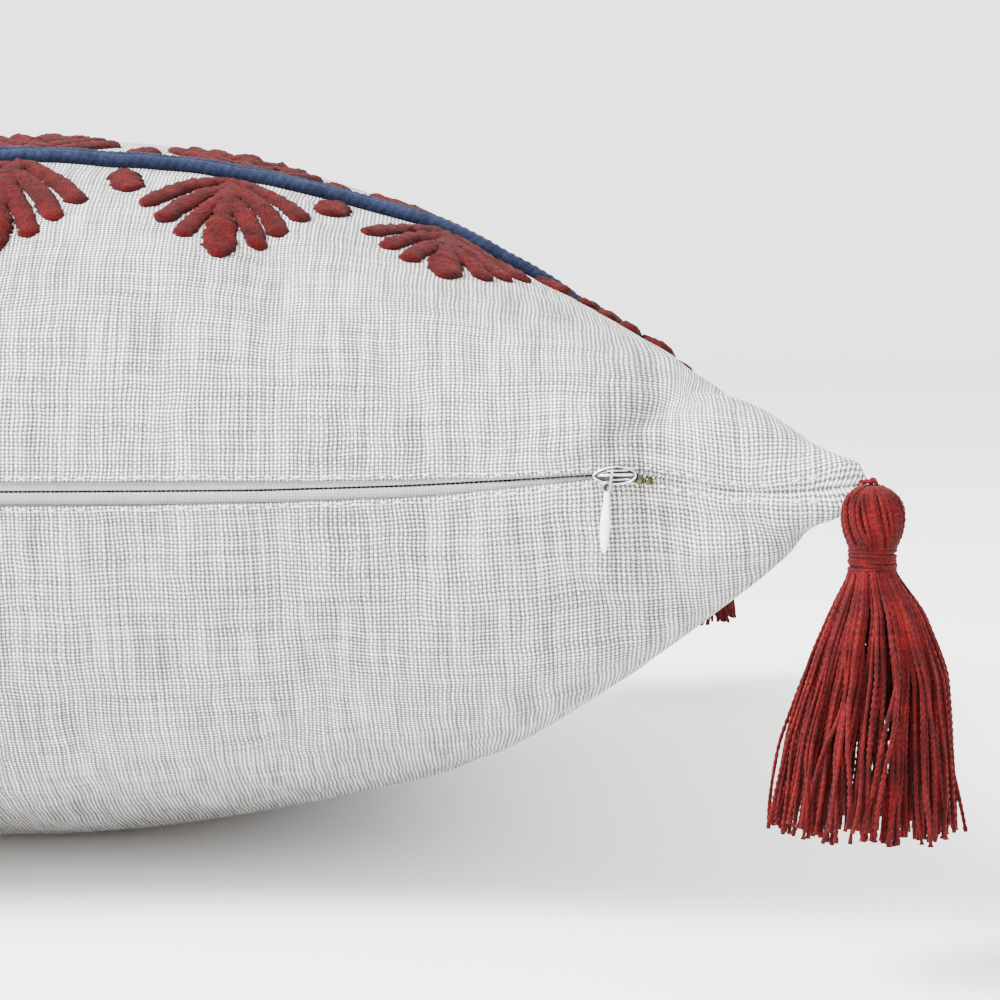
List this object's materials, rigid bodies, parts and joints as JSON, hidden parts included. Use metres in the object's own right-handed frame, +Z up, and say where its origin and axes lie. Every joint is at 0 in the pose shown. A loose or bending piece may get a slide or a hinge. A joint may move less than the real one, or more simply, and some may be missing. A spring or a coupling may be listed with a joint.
{
  "type": "throw pillow",
  "caption": "Square stuffed throw pillow with an embroidered zipped cover and a hanging tassel on each corner",
  "frame": {"origin": "centre of the flat patch that the pillow rests on", "axes": "+Z up through the middle of the front, -Y towards the zipper edge, +X towards the zipper's closed end"},
  "size_m": [0.5238, 0.5238, 0.2295],
  "materials": {
    "linen": "slubby plain weave, off-white",
    "insert_casing": "fine plain cotton, white",
    "filling": "loose white fibre",
    "zip_tape": "smooth woven tape, light grey",
    "zip_coil": "moulded coil, light grey",
    "zip_metal": "bright plated metal",
    "pull_enamel": "glossy white enamel",
    "tassel_yarn": "two-ply twisted yarn, crimson",
    "navy_rope": "twisted embroidery rope, navy"
  },
  "bodies": {
    "cushion": {"front_panel": "linen", "back_panel": "linen", "insert_casing_front": "insert_casing", "insert_casing_back": "insert_casing", "insert_filling": "filling", "zip_tape_upper": "zip_tape", "zip_tape_lower": "zip_tape", "zip_coil_upper": "zip_coil", "zip_coil_lower": "zip_coil", "zip_stop_open_end": "zip_metal", "zip_stop_closed_end": "zip_metal", "rope_near_a": "navy_rope", "rope_near_b": "navy_rope", "rope_far_a": "navy_rope", "rope_far_b": "navy_rope", "tassel_anchor_near_right": "tassel_yarn", "tassel_anchor_near_left": "tassel_yarn", "tassel_anchor_far_right": "tassel_yarn", "tassel_anchor_far_left": "tassel_yarn"},
    "slider": {"slider_body": "zip_metal", "slider_crown": "zip_metal"},
    "pull_link": {"pull_link": "zip_metal"},
    "pull_tab": {"pull_tab": "pull_enamel"},
    "tassel_loop_near_right": {"tassel_loop_near_right": "tassel_yarn"},
    "tassel_near_right": {"tassel_head_near_right": "tassel_yarn", "tassel_binding_near_right": "tassel_yarn", "tassel_skirt_near_right": "tassel_yarn"},
    "tassel_loop_near_left": {"tassel_loop_near_left": "tassel_yarn"},
    "tassel_near_left": {"tassel_head_near_left": "tassel_yarn", "tassel_binding_near_left": "tassel_yarn", "tassel_skirt_near_left": "tassel_yarn"},
    "tassel_loop_far_right": {"tassel_loop_far_right": "tassel_yarn"},
    "tassel_far_right": {"tassel_head_far_right": "tassel_yarn", "tassel_binding_far_right": "tassel_yarn", "tassel_skirt_far_right": "tassel_yarn"},
    "tassel_loop_far_left": {"tassel_loop_far_left": "tassel_yarn"},
    "tassel_far_left": {"tassel_head_far_left": "tassel_yarn", "tassel_binding_far_left": "tassel_yarn", "tassel_skirt_far_left": "tassel_yarn"}
  },
  "joints": [
    {"name": "slider_travel", "type": "hinge", "parent": "cushion", "child": "slider", "pos_m": [0, -0.85612, 0.20514], "axis": [0, 0.124, 0.9923], "range_deg": [0, 31.07]},
    {"name": "link_swing", "type": "hinge", "parent": "slider", "child": "pull_link", "pos_m": [0.17645, -0.22253, 0.12624], "axis": [-0.9635, 0.2658, -0.0332], "range_deg": [0, 120]},
    {"name": "tab_swing", "type": "hinge", "parent": "pull_link", "child": "pull_tab", "pos_m": [0.17645, -0.22302, 0.12232], "axis": [-0.2678, -0.956, 0.1195], "range_deg": [-75, 75]},
    {"name": "swing_out_near_right", "type": "hinge", "parent": "cushion", "child": "tassel_loop_near_right", "pos_m": [0.2407, -0.2407, 0.128], "axis": [-0.7071, -0.7071, 0], "range_deg": [-6, 100]},
    {"name": "swing_side_near_right", "type": "hinge", "parent": "tassel_loop_near_right", "child": "tassel_near_right", "pos_m": [0.2407, -0.2407, 0.1255], "axis": [0.7071, -0.7071, 0], "range_deg": [-50, 50]},
    {"name": "swing_out_near_left", "type": "hinge", "parent": "cushion", "child": "tassel_loop_near_left", "pos_m": [-0.2407, -0.2407, 0.128], "axis": [-0.7071, 0.7071, 0], "range_deg": [-6, 100]},
    {"name": "swing_side_near_left", "type": "hinge", "parent": "tassel_loop_near_left", "child": "tassel_near_left", "pos_m": [-0.2407, -0.2407, 0.1255], "axis": [-0.7071, -0.7071, 0], "range_deg": [-50, 50]},
    {"name": "swing_out_far_right", "type": "hinge", "parent": "cushion", "child": "tassel_loop_far_right", "pos_m": [0.2407, 0.2407, 0.128], "axis": [0.7071, -0.7071, 0], "range_deg": [-6, 100]},
    {"name": "swing_side_far_right", "type": "hinge", "parent": "tassel_loop_far_right", "child": "tassel_far_right", "pos_m": [0.2407, 0.2407, 0.1255], "axis": [0.7071, 0.7071, 0], "range_deg": [-50, 50]},
    {"name": "swing_out_far_left", "type": "hinge", "parent": "cushion", "child": "tassel_loop_far_left", "pos_m": [-0.2407, 0.2407, 0.128], "axis": [0.7071, 0.7071, 0], "range_deg": [-6, 100]},
    {"name": "swing_side_far_left", "type": "hinge", "parent": "tassel_loop_far_left", "child": "tassel_far_left", "pos_m": [-0.2407, 0.2407, 0.1255], "axis": [-0.7071, 0.7071, 0], "range_deg": [-50, 50]}
  ]
}
